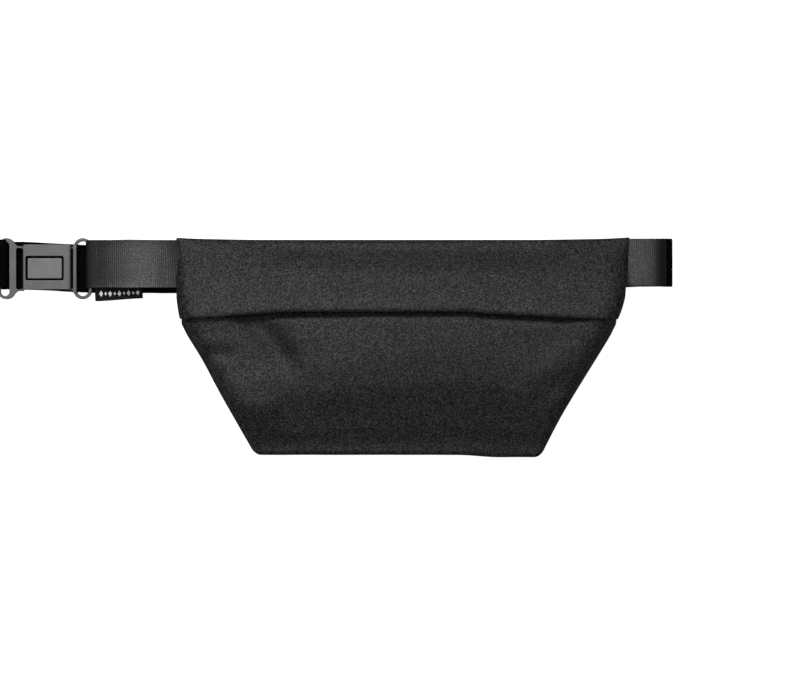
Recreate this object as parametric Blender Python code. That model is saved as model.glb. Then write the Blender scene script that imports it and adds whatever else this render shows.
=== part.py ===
"""A waist pack lying flat on its back, with its belt folded flat behind it.

Run it with: blender --background --python part.py

Metres. +X points to the pack's right as it is looked at, +Y to its top edge and +Z out of its front.
The origin is on the back panel's flat face, which lies on the surface z = 0.
"""

import math

import bmesh
import bpy
from mathutils import Matrix, Vector

GAP = 0.0003  # between pieces that touch

# The bag's outline, seen from the front.
TOP_Y, FLAP_EDGE_Y, WING_Y, BOTTOM_Y = 0.0870, 0.0225, 0.0180, -0.0865
TOP_HALF, WING_HALF, BOTTOM_HALF = 0.1810, 0.1730, 0.1135
CORNER_RADIUS = 0.0080
SIDE_POWER = 8  # how squarely the bulge falls to the side seams

# Heights above the surface that the bag lies on.
RIM_Z = 0.0078
CREST_Y, CREST_RISE = -0.0020, 0.0236
BOTTOM_EASE = 0.75  # under 1 moves the steepest slope towards the bottom seam
FLAP_RIM_Z, FLAP_RISE = 0.0114, 0.0232
UPPER_RISE = 0.0215
BACK_TOP_Z = 0.0052
STRAP_BAND_Y, STRAP_BAND_Z = 0.0430, 0.0022  # the back panel rides over the belt above this line

PANEL_THICK = 0.0012
LINING_THICK = 0.0004
FLAP_OUTER_THICK, FLAP_FACING_THICK = 0.0008, 0.0005
FLAP_HINGE_Y, FLAP_HINGE_Z = 0.0870, 0.0090

# The zip under the flap.
ZIP_Y, ZIP_Z, ZIP_TILT = 0.0377, 0.0246, math.radians(-12.3)
ZIP_HALF = 0.1150
COIL_RADIUS, COIL_GAP = 0.0009, 0.0010
TAPE_WIDTH, TAPE_THICK = 0.0060, 0.0006
SLIDER_X = 0.1100
BRIDGE_REACH = 0.0038
PULL_AXIS_Z, PULL_THICK, PULL_BAR_RADIUS = 0.0029, 0.0009, 0.0006  # the axis stands this high over the chain's middle

# Belt webbing.
WEB_WIDTH, WEB_THICK = 0.0380, 0.0015
WEB_Y = 0.0650
WEB_LOW, WEB_HIGH = WEB_Y - WEB_WIDTH / 2, WEB_Y + WEB_WIDTH / 2
WEB_FLOOR_Z = WEB_THICK / 2
RIGHT_FOLD_X, RIGHT_FOLD_TOP_Z = 0.2134, 0.0084
LEFT_FOLD_X = -0.4080
WRAP_RADIUS = 0.0027  # of the webbing's middle line round a bar

# The buckle.
BUCKLE_Y, BUCKLE_Z = 0.0630, 0.0072
HOUSING_LEFT, HOUSING_RIGHT = -0.3006, -0.2610
HOUSING_HALF = 0.0181
HOUSING_FLOOR_Z, HOUSING_TOP_Z = 0.0024, 0.0102
HOUSING_WALL = 0.0016
COVER_LEFT, COVER_RIGHT = -0.3016, -0.2634
COVER_LOW_Z, COVER_TOP_Z = 0.0105, 0.0124
RING_WIDTH, RING_HEIGHT, RING_ROD, RING_CORNER = 0.0146, 0.0496, 0.0032, 0.0032
RING_RIGHT_X, RING_LEFT_X = -0.2539, -0.3153
BUTTON_X, BUTTON_SIZE, BUTTON_GAP = -0.2842, (0.0276, 0.0168), 0.0010
BUTTON_TRAVEL = 0.0020
BUTTON_TOP_Z = 0.0128
SPRING_RADIUS, SPRING_WIRE, SPRING_TURNS = 0.0030, 0.0006, 4

# The belt's length adjuster, on the front run left of the buckle.
ADJUSTER_X = -0.3600
ADJUSTER_SIZE = (0.0240, 0.0460)
ADJUSTER_BAR = 0.0030
TAIL_BAR_Z = 0.0051


# ---------------------------------------------------------------- tools


def clear_scene():
    for obj in list(bpy.data.objects):
        bpy.data.objects.remove(obj)


def material(name, color, roughness, metallic=0.0):
    """The Principled material of that name, made once."""
    found = bpy.data.materials.get(name)
    if found:
        return found
    made = bpy.data.materials.new(name)
    made.use_nodes = True
    shader = made.node_tree.nodes["Principled BSDF"]
    shader.inputs["Base Color"].default_value = (*color, 1.0)
    shader.inputs["Roughness"].default_value = roughness
    shader.inputs["Metallic"].default_value = metallic
    return made


def canvas():
    return material("black_canvas", (0.035, 0.034, 0.032), 0.85)


def lining():
    return material("grey_lining", (0.10, 0.10, 0.11), 0.70)


def mesh_cloth():
    return material("back_mesh", (0.030, 0.030, 0.032), 0.90)


def foam():
    return material("foam", (0.16, 0.16, 0.16), 0.95)


def webbing():
    return material("black_webbing", (0.045, 0.045, 0.043), 0.60)


def plastic():
    return material("dark_grey_plastic", (0.110, 0.114, 0.110), 0.45)


def zip_cloth():
    return material("zip_tape", (0.025, 0.025, 0.025), 0.80)


def zip_coil():
    return material("zip_coil", (0.020, 0.020, 0.020), 0.40)


def zip_metal():
    return material("zip_metal", (0.050, 0.050, 0.052), 0.35, 0.8)


def spring_steel():
    return material("spring_steel", (0.55, 0.55, 0.56), 0.25, 1.0)


def label_cloth():
    return material("label", (0.020, 0.020, 0.020), 0.80)


def add_object(name, mesh, look):
    obj = bpy.data.objects.new(name, mesh)
    mesh.materials.append(look)
    bpy.context.scene.collection.objects.link(obj)
    return obj


def from_bmesh(name, bm, look, sharp=math.radians(35)):
    bmesh.ops.recalc_face_normals(bm, faces=bm.faces)
    mesh = bpy.data.meshes.new(name)
    bm.to_mesh(mesh)
    bm.free()
    mesh.shade_smooth()
    mesh.set_sharp_from_angle(angle=sharp)
    return add_object(name, mesh, look)


def steps(low, high, count):
    return [low + (high - low) * i / count for i in range(count + 1)]


def between(value, low, high, at_low, at_high):
    """at_low at value low and at_high at value high, in a straight line."""
    return at_low + (at_high - at_low) * (value - low) / (high - low)


def rounded_rectangle(centre, size, radius, corner_steps=4):
    """The outline of a rectangle with round corners, anticlockwise."""
    points = []
    for quarter in range(4):
        side_x = 1 if quarter in (0, 3) else -1
        side_y = 1 if quarter in (0, 1) else -1
        corner = (
            centre[0] + side_x * (size[0] / 2 - radius),
            centre[1] + side_y * (size[1] / 2 - radius),
        )
        for step in range(corner_steps + 1):
            angle = math.pi / 2 * (quarter + step / corner_steps)
            points.append((corner[0] + radius * math.cos(angle), corner[1] + radius * math.sin(angle)))
    return points


def prism(name, outline, low, high, look, bevel=0.0):
    """The outline in X and Y, drawn out from low to high in Z, with its long edges rounded by bevel."""
    bm = bmesh.new()
    face = bm.faces.new([bm.verts.new((x, y, low)) for x, y in outline])
    drawn = bmesh.ops.extrude_face_region(bm, geom=[face])
    top = [item for item in drawn["geom"] if isinstance(item, bmesh.types.BMVert)]
    bmesh.ops.translate(bm, vec=(0, 0, high - low), verts=top)
    obj = from_bmesh(name, bm, look)
    if bevel:
        rounding = obj.modifiers.new("edge_rounding", "BEVEL")
        rounding.width = bevel
        rounding.segments = 2
        rounding.limit_method = "ANGLE"
        rounding.angle_limit = math.radians(50)
    return obj


def block(name, low, high, look, bevel=0.0):
    outline = [(low[0], low[1]), (high[0], low[1]), (high[0], high[1]), (low[0], high[1])]
    return prism(name, outline, low[2], high[2], look, bevel)


def cylinder(name, centre, radius, low, high, look, sides=20):
    turn = 2 * math.pi / sides
    outline = [
        (centre[0] + radius * math.cos(turn * i), centre[1] + radius * math.sin(turn * i))
        for i in range(sides)
    ]
    return prism(name, outline, low, high, look)


def helper(obj):
    """Marks an object that only cuts or joins others."""
    obj.hide_render = True
    obj.display_type = "WIRE"
    return obj


def combine(obj, other, operation):
    helper(other)
    modifier = obj.modifiers.new(f"{operation.lower()}_{other.name}", "BOOLEAN")
    modifier.operation = operation
    modifier.solver = "EXACT"
    modifier.object = other


def cloth_shell(name, rows, columns, height, low_y, high_y, thick, look, inset=0.0):
    """A sheet of cloth over the bag's outline between low_y and high_y. Its outer side is at height(u, y), with u from
    -1 to 1 across the bag, and its thickness goes inwards."""
    bm = bmesh.new()
    columns_at = [math.sin(math.pi / 2 * part) for part in steps(-1, 1, columns)]  # closest at the sides
    grid = []
    for y in steps(low_y, high_y, rows):
        half = half_width(y) - inset
        grid.append([bm.verts.new((u * half, y, height(u, y))) for u in columns_at])
    for low_row, high_row in zip(grid, grid[1:]):
        for i in range(columns):
            bm.faces.new((low_row[i], low_row[i + 1], high_row[i + 1], high_row[i]))
    obj = from_bmesh(name, bm, look)
    thickness = obj.modifiers.new("thickness", "SOLIDIFY")
    thickness.thickness = thick
    thickness.offset = -1
    thickness.use_even_offset = True
    return obj


def slab(name, sections, look):
    """A solid through four-cornered sections (y, left, right, bottom, top), in order of y."""
    bm = bmesh.new()
    rings = [
        [bm.verts.new((x, y, z)) for x, z in ((left, low), (right, low), (right, top), (left, top))]
        for y, left, right, low, top in sections
    ]
    bm.faces.new(rings[0])
    bm.faces.new(rings[-1])
    for ring, after in zip(rings, rings[1:]):
        for i in range(4):
            bm.faces.new((ring[i], ring[(i + 1) % 4], after[(i + 1) % 4], after[i]))
    return from_bmesh(name, bm, look)


def strip(name, path, low_y, high_y, thick, look):
    """Webbing whose middle line follows path, points in X and Z. A third value in a point moves only the low edge's X."""
    bm = bmesh.new()
    edges = []
    for x, z, *shift in path:
        edges.append((bm.verts.new((x + sum(shift), low_y, z)), bm.verts.new((x, high_y, z))))
    for (a, b), (c, d) in zip(edges, edges[1:]):
        bm.faces.new((a, b, d, c))
    obj = from_bmesh(name, bm, look)
    thickness = obj.modifiers.new("thickness", "SOLIDIFY")
    thickness.thickness = thick
    thickness.offset = 0
    thickness.use_even_offset = True
    return obj


def arc(centre, radius, start, end, count):
    """Points in X and Z round centre, from start to end in degrees, anticlockwise from +X."""
    return [
        (
            centre[0] + radius * math.cos(math.radians(angle)),
            centre[1] + radius * math.sin(math.radians(angle)),
        )
        for angle in steps(start, end, count)
    ]


def ring(name, centre, size, rod, corner, look, corner_steps=4, rod_sides=10):
    """A flat frame of round rod with round corners, lying in X and Y; size is its outside width and height."""
    line = rounded_rectangle(centre, (size[0] - rod, size[1] - rod), corner, corner_steps)
    bm = bmesh.new()
    loops = []
    for i, (x, y) in enumerate(line):
        quarter, step = divmod(i, corner_steps + 1)
        angle = math.pi / 2 * (quarter + step / corner_steps)
        out = Vector((math.cos(angle), math.sin(angle), 0))
        loop = []
        for k in range(rod_sides):
            turn = 2 * math.pi * (k + 0.5) / rod_sides
            away = out * math.cos(turn) + Vector((0, 0, math.sin(turn)))
            loop.append(bm.verts.new(Vector((x, y, centre[2])) + away * rod / 2))
        loops.append(loop)
    for i, loop in enumerate(loops):
        after = loops[(i + 1) % len(loops)]
        for k in range(rod_sides):
            bm.faces.new((loop[k], loop[(k + 1) % rod_sides], after[(k + 1) % rod_sides], after[k]))
    return from_bmesh(name, bm, look)


# ---------------------------------------------------------------- the bag's shape


def half_width(y):
    """Half the bag's width at y."""
    if y > WING_Y:
        return between(y, WING_Y, TOP_Y, WING_HALF, TOP_HALF)
    width = between(y, BOTTOM_Y, WING_Y, BOTTOM_HALF, WING_HALF)
    short = CORNER_RADIUS - (y - BOTTOM_Y)
    if short > 0:
        width -= CORNER_RADIUS - math.sqrt(CORNER_RADIUS**2 - short**2)
    return width


def across(u):
    """How much of the bulge is left at u, from 1 on the middle line to 0 at the side seams."""
    return 1 - abs(u) ** SIDE_POWER


def lower_height(u, y):
    """The lower front panel: it leaves the bottom seam flat, rises to the crest and dips to the zip."""
    t = min(1.0, max(0.0, (y - BOTTOM_Y) / (CREST_Y - BOTTOM_Y))) ** BOTTOM_EASE
    rise = t * t * (3 - 2 * t)
    tuck = max(0.0, (y - FLAP_EDGE_Y) / (ZIP_Y - TAPE_WIDTH - FLAP_EDGE_Y))
    return RIM_Z + (CREST_RISE * rise - 0.0036 * tuck * tuck) * across(u)


def from_top(y):
    """0 at the top edge, rising to 1 at the flap's free edge."""
    t = min(1.0, max(0.0, (TOP_Y - y) / (TOP_Y - FLAP_EDGE_Y)))
    return math.sin(math.pi / 2 * t)


def upper_height(u, y):
    return RIM_Z + UPPER_RISE * from_top(y) * across(u)


def flap_height(u, y):
    return FLAP_RIM_Z + FLAP_RISE * from_top(y) * across(u)


# ---------------------------------------------------------------- the bag


def make_back():
    """The back panel, its foam, its lining and the slip pocket on it, with room for the belt behind them."""

    def layer(name, inset, low, high, band_low, band_high, look):
        ys = [BOTTOM_Y + inset + extra for extra in (0, 0.001, 0.003, 0.008)]
        ys += [WING_Y, STRAP_BAND_Y - 0.006, STRAP_BAND_Y, TOP_Y - inset]
        sections = []
        for y in ys:
            half = half_width(y) - inset
            banded = y >= STRAP_BAND_Y
            sections.append((y, -half, half, band_low if banded else low, band_high if banded else high))
        slab(name, sections, look)

    layer("back_panel", 0.0025, 0.0, 0.0024, STRAP_BAND_Z, 0.0034, mesh_cloth())
    layer("back_foam", 0.0060, 0.0027, 0.0052, 0.0037, 0.0052, foam())
    layer("back_lining", 0.0050, 0.0055, 0.0059, 0.0055, 0.0059, lining())
    block("slip_pocket", (-0.080, -0.062, 0.0062), (0.080, 0.012, 0.0068), lining())


def make_front():
    """The two front panels that the zip joins, and the lining behind each."""
    panel_top = ZIP_Y - TAPE_WIDTH
    cloth_shell(
        "lower_front_panel", 15, 18, lower_height, BOTTOM_Y, panel_top, PANEL_THICK, canvas()
    )
    upper_low = ZIP_Y + TAPE_WIDTH
    cloth_shell(
        "upper_front_panel", 6, 18, upper_height, upper_low, TOP_Y - 0.0005, PANEL_THICK, canvas(), 0.0010
    )

    def lower_lining(u, y):
        return lower_height(u * 0.93, y) - 0.0034

    def upper_lining(u, y):
        return upper_height(u * 0.93, y) - 0.0030

    cloth_shell(
        "lower_lining", 8, 14, lower_lining, BOTTOM_Y + 0.028, panel_top - 0.006, LINING_THICK, lining(), 0.012
    )
    cloth_shell(
        "upper_lining", 4, 14, upper_lining, upper_low + 0.005, TOP_Y - 0.018, LINING_THICK, lining(), 0.012
    )


def make_seam_bindings():
    """The tapes that bind the raw edges inside the bag."""
    for side, name in ((-1, "seam_binding_left"), (1, "seam_binding_right")):
        sections = []
        for y in (-0.052, WING_Y, 0.070):
            near, far = half_width(y) - 0.016, half_width(y) - 0.009
            left, right = sorted((side * near, side * far))
            sections.append((y, left, right, 0.0062, 0.0070))
        slab(name, sections, lining())
    block("seam_binding_bottom", (-0.088, -0.077, 0.0062), (0.088, -0.071, 0.0070), lining())


def make_flap():
    """The flap over the zip: its outer cloth and its facing. Both have their origin on the fold that they turn about."""
    inner = FLAP_OUTER_THICK + GAP

    def facing_height(u, y):
        return flap_height(u, y) - inner

    outer = cloth_shell(
        "flap_outer", 8, 18, flap_height, FLAP_EDGE_Y, TOP_Y - 0.0006, FLAP_OUTER_THICK, canvas()
    )
    facing = cloth_shell(
        "flap_facing", 8, 18, facing_height, FLAP_EDGE_Y + 0.0008, TOP_Y - 0.0014, FLAP_FACING_THICK, lining(), 0.0010
    )
    hinge = Vector((0, FLAP_HINGE_Y, FLAP_HINGE_Z))
    for obj in (outer, facing):
        obj.data.transform(Matrix.Translation(-hinge))
        obj.location = hinge


# ---------------------------------------------------------------- the zip


def make_zip():
    """The closed zip, its slider and its pull, made level round the chain's middle and then tilted to the panels."""
    place = bpy.data.objects.new("zip_place", None)
    bpy.context.scene.collection.objects.link(place)
    place.location = (0, ZIP_Y, ZIP_Z)
    place.rotation_euler = (ZIP_TILT, 0, 0)

    pieces = []
    for side, name in ((-1, "lower"), (1, "upper")):
        inner = side * (COIL_GAP / 2 + 2 * COIL_RADIUS + GAP)
        outer = side * (TAPE_WIDTH - 0.0006)
        low, high = sorted((inner, outer))
        tape = block(
            f"zip_tape_{name}",
            (-ZIP_HALF - 0.006, low, -TAPE_THICK / 2),
            (ZIP_HALF + 0.006, high, TAPE_THICK / 2),
            zip_cloth(),
        )
        pieces.append(tape)
        middle = side * (COIL_GAP / 2 + COIL_RADIUS)
        outline = [
            (middle + COIL_RADIUS * math.cos(turn), COIL_RADIUS * math.sin(turn))
            for turn in steps(0, 2 * math.pi, 8)[:-1]
        ]
        coil = prism(f"zip_coil_{name}", outline, -ZIP_HALF, ZIP_HALF, zip_coil())
        coil.data.transform(Matrix(((0, 0, 1, 0), (1, 0, 0, 0), (0, 1, 0, 0), (0, 0, 0, 1))))
        pieces.append(coil)
    for side, name in ((-1, "zip_stop_left"), (1, "zip_stop_right")):
        near, far = ZIP_HALF + GAP, ZIP_HALF + 0.0030
        low, high = sorted((side * near, side * far))
        stop = block(name, (low, -0.0020, TAPE_THICK / 2 + GAP), (high, 0.0020, 0.0016), zip_metal(), 0.0003)
        pieces.append(stop)
    pieces.append(make_zip_slider())
    pieces.append(make_zip_pull())
    for piece in pieces:
        piece.parent = place


def make_zip_slider():
    """Two plates that hold the chain between them, joined by a post between the coils, with a bridge for the pull."""
    look = zip_metal()
    plate = rounded_rectangle((0, 0), (0.0090, 0.0096), 0.0020, 3)
    body = prism("zip_slider", plate, 0.0012, 0.0020, look, 0.0002)
    parts = [prism("slider_under", plate, -0.0020, -0.0012, look, 0.0002)]
    parts.append(block("slider_post", (-0.0016, -0.0002, -0.0016), (0.0016, 0.0002, 0.0016), look))
    for side in (-1, 1):
        low, high = sorted((side * 0.0042, side * 0.0047))
        parts.append(block(f"slider_lip_{side}", (-0.0035, low, 0.0006), (0.0035, high, 0.0014), look))
        left, right = sorted((side * BRIDGE_REACH, side * (BRIDGE_REACH - 0.0010)))
        parts.append(block(f"bridge_foot_{side}", (left, -0.0008, 0.0016), (right, 0.0008, 0.0042), look))
    parts.append(block("slider_bridge", (-BRIDGE_REACH, -0.0008, 0.0037), (BRIDGE_REACH, 0.0008, 0.0044), look))
    for part in parts:
        combine(body, part, "UNION")
        part.parent = body
    body.location = (SLIDER_X, 0, 0)
    return body


def make_zip_pull():
    """A flat tab that turns about the round bar it has under the slider's bridge; it lies back along the chain."""
    look = zip_metal()
    half = PULL_THICK / 2
    tab = prism(
        "zip_pull", rounded_rectangle((-0.0082, 0), (0.0178, 0.0062), 0.0012, 4), -half, half, look, 0.0002
    )
    eye = block("pull_eye", (-0.0055, -0.0019, -0.002), (-0.0002, 0.0019, 0.002), look)
    grip = prism(
        "pull_grip", rounded_rectangle((-0.0122, 0), (0.0060, 0.0026), 0.0012, 4), -0.002, 0.002, look
    )
    bar = cylinder("pull_bar", (0, 0), PULL_BAR_RADIUS, -0.0024, 0.0024, look, 16)
    bar.data.transform(Matrix.Rotation(math.pi / 2, 4, "X"))
    for other, operation in ((eye, "DIFFERENCE"), (grip, "DIFFERENCE"), (bar, "UNION")):
        combine(tab, other, operation)
        other.parent = tab
    tab.location = (SLIDER_X, 0, PULL_AXIS_Z)
    return tab


# ---------------------------------------------------------------- the belt


def make_belt():
    """The webbing: the short loop from the bag to the buckle, and the long run behind the bag to the buckle's other
    side, cut in two where the clasp's moving half carries it."""
    look = webbing()
    bar_x = RING_RIGHT_X + RING_WIDTH / 2 - RING_ROD / 2
    top, under = BUCKLE_Z + WRAP_RADIUS, BUCKLE_Z - WRAP_RADIUS
    seam_x = half_width(WEB_HIGH) + GAP
    slant = seam_x - half_width(WEB_LOW) - GAP
    short_path = [(-seam_x, 0.00795, slant), (-seam_x - 0.018, 0.0092), (-0.222, top)]
    short_path += arc((bar_x, BUCKLE_Z), WRAP_RADIUS, 90, 270, 10)
    short_path += [(-0.222, under), (-seam_x - 0.018, 0.00555), (-seam_x, 0.00615, slant)]
    strip("short_strap", short_path, WEB_LOW, WEB_HIGH, WEB_THICK, look)

    fold_radius = (RIGHT_FOLD_TOP_Z - WEB_FLOOR_Z) / 2
    back_path = [(seam_x, 0.0070, -slant), (seam_x + 0.016, 0.0080)]
    back_path += arc((RIGHT_FOLD_X, WEB_FLOOR_Z + fold_radius), fold_radius, 90, -90, 12)
    back_path += [(0.0, WEB_FLOOR_Z), (LEFT_FOLD_X + GAP, WEB_FLOOR_Z)]
    strip("waist_strap_back", back_path, WEB_LOW, WEB_HIGH, WEB_THICK, look)

    bar_x = RING_LEFT_X - RING_WIDTH / 2 + RING_ROD / 2
    fold_radius = (top - WEB_FLOOR_Z) / 2
    front_path = arc((LEFT_FOLD_X, WEB_FLOOR_Z + fold_radius), fold_radius, 270, 90, 12)
    front_path += arc((bar_x, BUCKLE_Z), WRAP_RADIUS, 90, -90, 10)
    front_path += [(bar_x - 0.0070, under)]
    strip("waist_strap_front", front_path, WEB_LOW, WEB_HIGH, WEB_THICK, look)

    label_left, label_right = -0.2443, -0.2063
    outline = [
        (label_left, WEB_LOW - GAP),
        (label_left - 0.0003, 0.0369),
        (label_right, 0.0391),
        (label_right, WEB_LOW - GAP),
    ]
    prism("label_tab", outline, 0.0064, 0.0077, label_cloth(), 0.0003)


def make_adjuster():
    """The slider that sets the belt's length: two bars over the front run, one under it, and the belt's sewn tail."""
    look = plastic()
    width, height = ADJUSTER_SIZE
    middle = (ADJUSTER_X, WEB_Y)
    over = BUCKLE_Z + WRAP_RADIUS + WEB_THICK / 2 + GAP
    frame = prism(
        "strap_adjuster", rounded_rectangle(middle, (width, height), 0.0050, 4), over, over + 0.0022, look, 0.0006
    )
    window = (width - 2 * ADJUSTER_BAR, WEB_WIDTH + 0.0012)
    combine(
        frame,
        prism("adjuster_window", rounded_rectangle(middle, window, 0.0020, 3), 0.005, 0.020, look),
        "DIFFERENCE",
    )
    bar_low, bar_high = TAIL_BAR_Z - 0.0012, TAIL_BAR_Z + 0.0012
    for side in (-1, 1):
        low, high = sorted((side * window[1] / 2, side * (height / 2 - 0.0003)))
        cheek = block(
            f"adjuster_cheek_{side}",
            (ADJUSTER_X - 0.0050, WEB_Y + low + 0.0001, bar_low + 0.0002),
            (ADJUSTER_X + 0.0050, WEB_Y + high, over + 0.0010),
            look,
        )
        combine(frame, cheek, "UNION")
    bar = block(
        "adjuster_bar",
        (ADJUSTER_X - 0.0013, WEB_Y - height / 2 + 0.001, bar_low),
        (ADJUSTER_X + 0.0013, WEB_Y + height / 2 - 0.001, bar_high),
        look,
        0.0004,
    )
    combine(frame, bar, "UNION")

    under = 0.0027
    loop = TAIL_BAR_Z - under
    tail_path = [(ADJUSTER_X + 0.0280, under)]
    tail_path += arc((ADJUSTER_X, TAIL_BAR_Z), loop, 270, 90, 10)
    tail_path += [(ADJUSTER_X + 0.0040, TAIL_BAR_Z + loop - 0.0006), (ADJUSTER_X + 0.0090, 0.0045)]
    strip("adjuster_tail", tail_path, WEB_LOW, WEB_HIGH, 0.0013, webbing())


# ---------------------------------------------------------------- the buckle


def make_housing():
    """The half that stays with the bag: a tray with the ring for the short strap, a cover with the button's window,
    and the spring under the button."""
    look = plastic()
    middle_y = BUCKLE_Y
    tray = block(
        "buckle_base",
        (HOUSING_LEFT, middle_y - HOUSING_HALF, HOUSING_FLOOR_Z),
        (HOUSING_RIGHT + 0.0006, middle_y + HOUSING_HALF, HOUSING_TOP_Z),
        look,
        0.0006,
    )
    inside = HOUSING_HALF - HOUSING_WALL
    hollow = block(
        "tray_hollow",
        (HOUSING_LEFT - 0.002, middle_y - inside, HOUSING_FLOOR_Z + HOUSING_WALL),
        (HOUSING_RIGHT - 0.0036, middle_y + inside, HOUSING_TOP_Z + 0.002),
        look,
    )
    combine(tray, hollow, "DIFFERENCE")
    seat = cylinder(
        "spring_seat", (BUTTON_X, middle_y), 0.0018, HOUSING_FLOOR_Z + 0.001, HOUSING_FLOOR_Z + 0.0028, look, 16
    )
    combine(tray, seat, "UNION")
    rod_ring = ring(
        "ring_right", (RING_RIGHT_X, middle_y, BUCKLE_Z), (RING_WIDTH, RING_HEIGHT), RING_ROD, RING_CORNER, look
    )
    combine(tray, rod_ring, "UNION")

    cover_middle = ((COVER_LEFT + COVER_RIGHT) / 2, middle_y)
    cover = prism(
        "buckle_cover",
        rounded_rectangle(cover_middle, (COVER_RIGHT - COVER_LEFT, 2 * HOUSING_HALF), 0.0016, 4),
        COVER_LOW_Z,
        COVER_TOP_Z,
        look,
        0.0006,
    )
    window_size = [side + 2 * BUTTON_GAP for side in BUTTON_SIZE]
    window = prism(
        "button_window", rounded_rectangle((BUTTON_X, middle_y), window_size, 0.0014, 4), 0.009, 0.014, look
    )
    combine(cover, window, "DIFFERENCE")
    make_spring()


def make_spring():
    """A short coil spring between the tray's floor and the button, as one spline of wire."""
    low = HOUSING_FLOOR_Z + HOUSING_WALL + GAP + SPRING_WIRE / 2
    high = HOUSING_TOP_Z - 0.0013 - GAP - SPRING_WIRE / 2
    curve = bpy.data.curves.new("button_spring", "CURVE")
    curve.dimensions = "3D"
    curve.bevel_depth = SPRING_WIRE / 2
    curve.bevel_resolution = 1
    curve.use_fill_caps = True
    count = SPRING_TURNS * 12
    spline = curve.splines.new("POLY")
    spline.points.add(count)
    for i, point in enumerate(spline.points):
        turn = 2 * math.pi * SPRING_TURNS * i / count
        point.co = (
            BUTTON_X + SPRING_RADIUS * math.cos(turn),
            BUCKLE_Y + SPRING_RADIUS * math.sin(turn),
            low + (high - low) * i / count,
            1,
        )
    add_object("button_spring", curve, spring_steel())


def make_button():
    """The release button: a cap in the cover's window, on a flange that the cover holds in, with two latch lugs."""
    look = plastic()
    size = BUTTON_SIZE
    flange_top, flange_low = HOUSING_TOP_Z, HOUSING_TOP_Z - 0.0013
    button = prism(
        "buckle_button",
        rounded_rectangle((0, 0), size, 0.0010, 4),
        flange_top - 0.0005,
        BUTTON_TOP_Z,
        look,
        0.0004,
    )
    flange = prism(
        "button_flange", rounded_rectangle((0, 0), (size[0] + 0.0044, size[1] + 0.0040), 0.0015, 3), flange_low, flange_top, look
    )
    combine(button, flange, "UNION")
    flange.parent = button
    for side in (-1, 1):
        low, high = sorted((side * 0.0085, side * 0.0102))
        lug = block(f"latch_lug_{side}", (0.0040, low, 0.0064), (0.0080, high, flange_low + 0.0005), look)
        combine(button, lug, "UNION")
        lug.parent = button
    button.location = (BUTTON_X, BUCKLE_Y, 0)


def make_clasp():
    """The half that pulls out: the ring for the long strap, a slotted shoulder, and two arms into the housing."""
    look = plastic()
    y = BUCKLE_Y
    half = HOUSING_HALF
    slot_left, slot_right = -0.3072, -0.3022
    shoulder_right = HOUSING_LEFT - GAP
    body = block(
        "buckle_clasp",
        (RING_LEFT_X + RING_WIDTH / 2 - RING_ROD - 0.0014, y - half, 0.0046),
        (shoulder_right, y + half, 0.0100),
        look,
        0.0006,
    )
    slot = prism(
        "clasp_slot",
        rounded_rectangle(((slot_left + slot_right) / 2, y), (slot_right - slot_left, 2 * half - 0.0024), 0.0012, 3),
        0.002,
        0.013,
        look,
    )
    arms = [
        block(
            f"clasp_arm_{side}",
            (shoulder_right - 0.0008, y + min(side * 0.0108, side * 0.0162), 0.0052),
            (-0.2700, y + max(side * 0.0108, side * 0.0162), 0.0086),
            look,
            0.0008,
        )
        for side in (-1, 1)
    ]
    combine(body, slot, "DIFFERENCE")
    for arm in arms:
        combine(body, arm, "UNION")
    for side in (-1, 1):
        low, high = sorted((side * 0.0100, side * 0.0120))
        notch = block(
            f"latch_notch_{side}",
            (BUTTON_X + 0.0035, y + low, 0.004),
            (BUTTON_X + 0.0085, y + high, 0.010),
            look,
        )
        combine(body, notch, "DIFFERENCE")
    rod_ring = ring("ring_left", (RING_LEFT_X, y, BUCKLE_Z), (RING_WIDTH, RING_HEIGHT), RING_ROD, RING_CORNER, look)
    combine(body, rod_ring, "UNION")


def main():
    clear_scene()
    make_back()
    make_front()
    make_seam_bindings()
    make_flap()
    make_zip()
    make_belt()
    make_adjuster()
    make_housing()
    make_button()
    make_clasp()


main()
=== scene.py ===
"""The look of a waist pack that lies on its back on a pale floor, seen from straight above.

Metres, in the CAD model's frame: +X to the right, +Y to the bag's top edge, +Z out of its front.
"""

import math

import bmesh
import bpy
from mathutils import Matrix, Vector, noise


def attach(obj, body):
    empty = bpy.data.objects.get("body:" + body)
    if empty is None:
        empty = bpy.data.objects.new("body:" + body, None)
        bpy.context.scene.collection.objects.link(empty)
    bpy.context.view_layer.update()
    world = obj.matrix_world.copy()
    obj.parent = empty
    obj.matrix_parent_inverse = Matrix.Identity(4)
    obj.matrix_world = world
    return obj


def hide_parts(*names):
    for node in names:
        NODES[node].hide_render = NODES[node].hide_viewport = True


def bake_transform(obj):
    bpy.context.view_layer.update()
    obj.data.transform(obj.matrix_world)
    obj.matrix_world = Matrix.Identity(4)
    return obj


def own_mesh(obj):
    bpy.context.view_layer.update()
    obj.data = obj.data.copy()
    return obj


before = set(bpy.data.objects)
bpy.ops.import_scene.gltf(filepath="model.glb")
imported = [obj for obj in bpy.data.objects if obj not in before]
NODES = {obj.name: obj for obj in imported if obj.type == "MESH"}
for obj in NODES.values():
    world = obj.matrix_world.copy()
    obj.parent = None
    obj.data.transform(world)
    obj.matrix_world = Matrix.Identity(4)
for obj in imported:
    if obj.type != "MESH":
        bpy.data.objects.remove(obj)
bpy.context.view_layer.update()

# The bag's outline, seen from the front.
TOP_Y, WING_Y, BOTTOM_Y = 0.0868, 0.0178, -0.0866
TOP_LEFT, TOP_RIGHT = -0.1786, 0.1834
WING_LEFT, WING_RIGHT = -0.1760, 0.1740
FOOT_LEFT, FOOT_RIGHT = -0.1162, 0.1124
FOOT_DROP = 0.0018  # how much lower the bottom seam is near its right end
LEFT_BOW, RIGHT_BOW = 0.0012, 0.0023  # how far the sides bow in
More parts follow.
